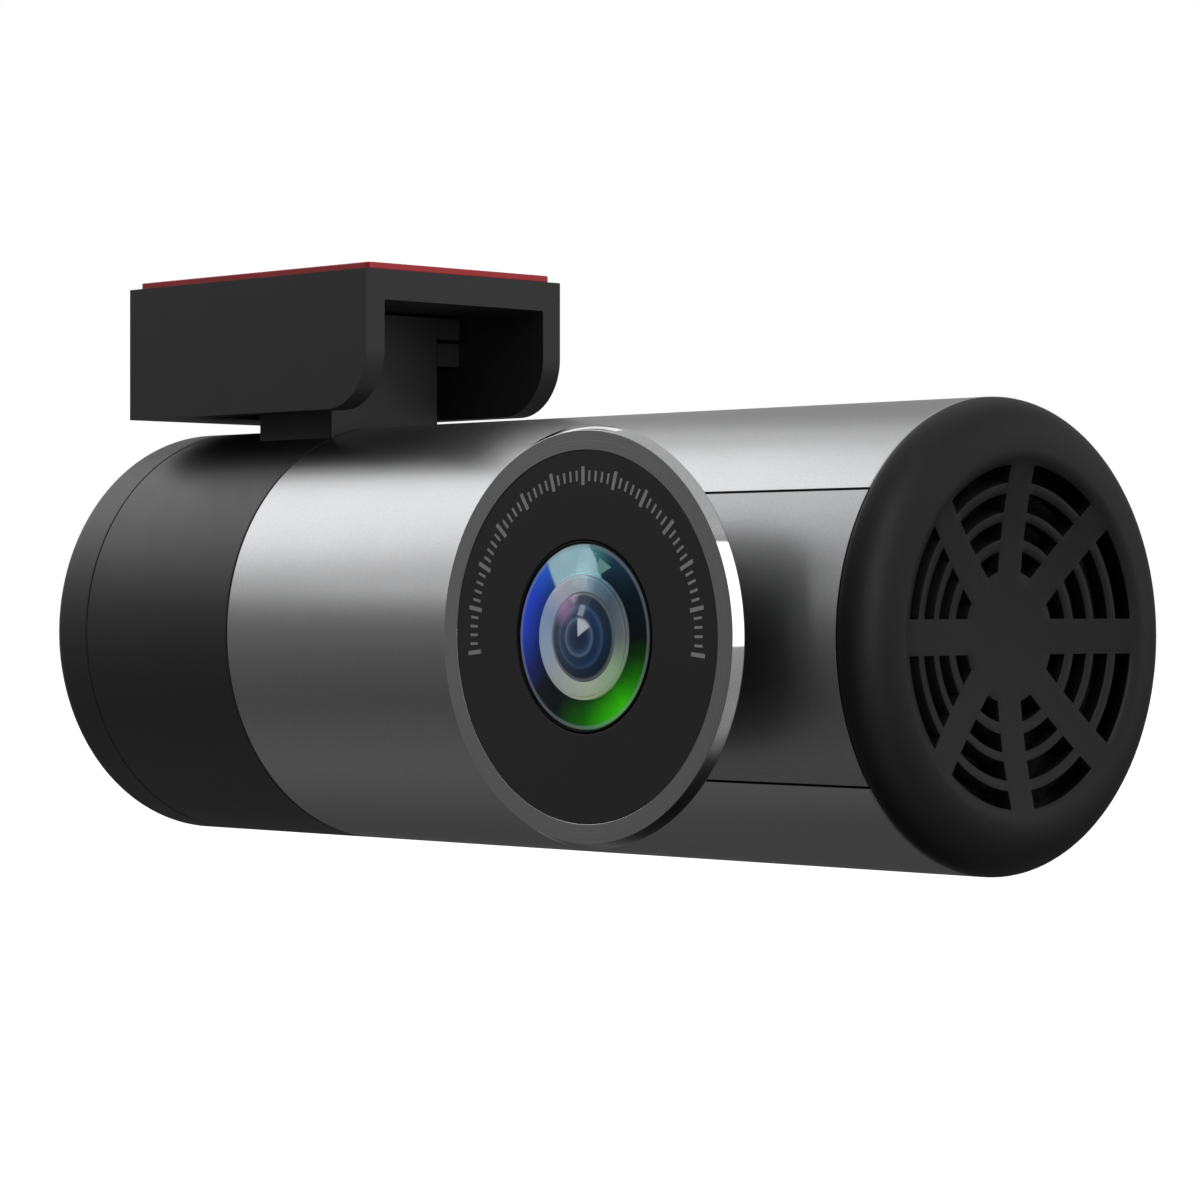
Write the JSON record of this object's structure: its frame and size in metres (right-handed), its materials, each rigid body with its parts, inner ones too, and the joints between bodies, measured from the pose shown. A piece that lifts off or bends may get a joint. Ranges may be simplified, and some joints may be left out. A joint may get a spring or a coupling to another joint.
{
  "type": "dash camera",
  "caption": "Cylindrical windscreen dash camera: a turning silver head with a bezelled wide-angle lens and speaker grille, hung from an adhesive bracket by a slide-in neck.",
  "frame": {"origin": "centre of the adhesive face on top of the bracket, where it meets the windscreen", "axes": "+X along the camera cylinder towards the speaker grille, -Y the way the lens looks at rest, +Z out of the adhesive face, up"},
  "size_m": [0.0967, 0.0412, 0.0493],
  "materials": {
    "black_moulding": "satin moulded black",
    "grille_black": "satin black with a soft sheen",
    "silver_shell": "satin anodised, silver-grey",
    "bezel_metal": "turned, fine concentric lay",
    "cover_black": "flat satin black, ring of printed ticks",
    "lens_metal": "black anodised",
    "lens_glass": "coated, blue and green reflections",
    "pad_foam": "closed-cell foam tape",
    "liner_red": "red film",
    "nylon_white": "smooth",
    "spring_steel": "bright",
    "screw_steel": "black zinc",
    "tinned_steel": "bright plated",
    "filter_glass": "blue-green filter",
    "board": "green solder mask",
    "chip": "moulded resin",
    "battery_foil": "laminated pouch",
    "clear": "translucent",
    "paper": "coated paper",
    "magnet": "nickel plated",
    "cloth": "fine acoustic cloth"
  },
  "bodies": {
    "bracket_body": {"bracket": "black_moulding", "adhesive_foam": "pad_foam", "release_liner": "liner_red"},
    "arm": {"arm_housing": "black_moulding", "end_cap": "black_moulding", "friction_ring": "nylon_white", "wave_washer": "spring_steel"},
    "head": {"pivot_hub": "black_moulding", "retainer_washer": "spring_steel", "pivot_screw": "screw_steel", "main_shell": "silver_shell", "front_panel": "silver_shell", "grille_cap": "grille_black", "turret": "black_moulding", "bezel_ring": "bezel_metal", "cover_plate": "cover_black", "lens_barrel": "lens_metal", "lens_front_glass": "lens_glass", "lens_second_glass": "lens_glass", "lens_rear_glass": "lens_glass", "lens_spacer": "tinned_steel", "lens_holder": "chip", "ir_filter": "filter_glass", "image_sensor": "chip", "sensor_board": "board", "holder_screw_1": "screw_steel", "holder_screw_2": "screw_steel", "main_board": "board", "board_screw_1": "screw_steel", "board_screw_2": "screw_steel", "usb_socket": "tinned_steel", "card_socket": "tinned_steel", "tactile_switch": "chip", "status_led": "clear", "light_pipe": "clear", "shield_can": "tinned_steel", "processor": "chip", "board_link": "chip", "microphone": "tinned_steel", "battery_cell": "battery_foil", "speaker_basket": "tinned_steel", "speaker_cone": "paper", "speaker_magnet": "magnet", "grille_cloth": "cloth"},
    "power_button": {"power_button": "black_moulding"}
  },
  "joints": [
    {"name": "mount_slide", "type": "slide", "parent": "bracket_body", "child": "arm", "axis": [1, 0, 0], "range_m": [0, 0.0099]},
    {"name": "pitch", "type": "hinge", "parent": "arm", "child": "head", "pos_m": [0.0534, 0, -0.0313], "axis": [1, 0, 0], "range_deg": [-60, 60]},
    {"name": "power_press", "type": "slide", "parent": "head", "child": "power_button", "axis": [0, -1, 0], "range_m": [0, 0.0004], "stiffness_N_per_m": 900}
  ]
}
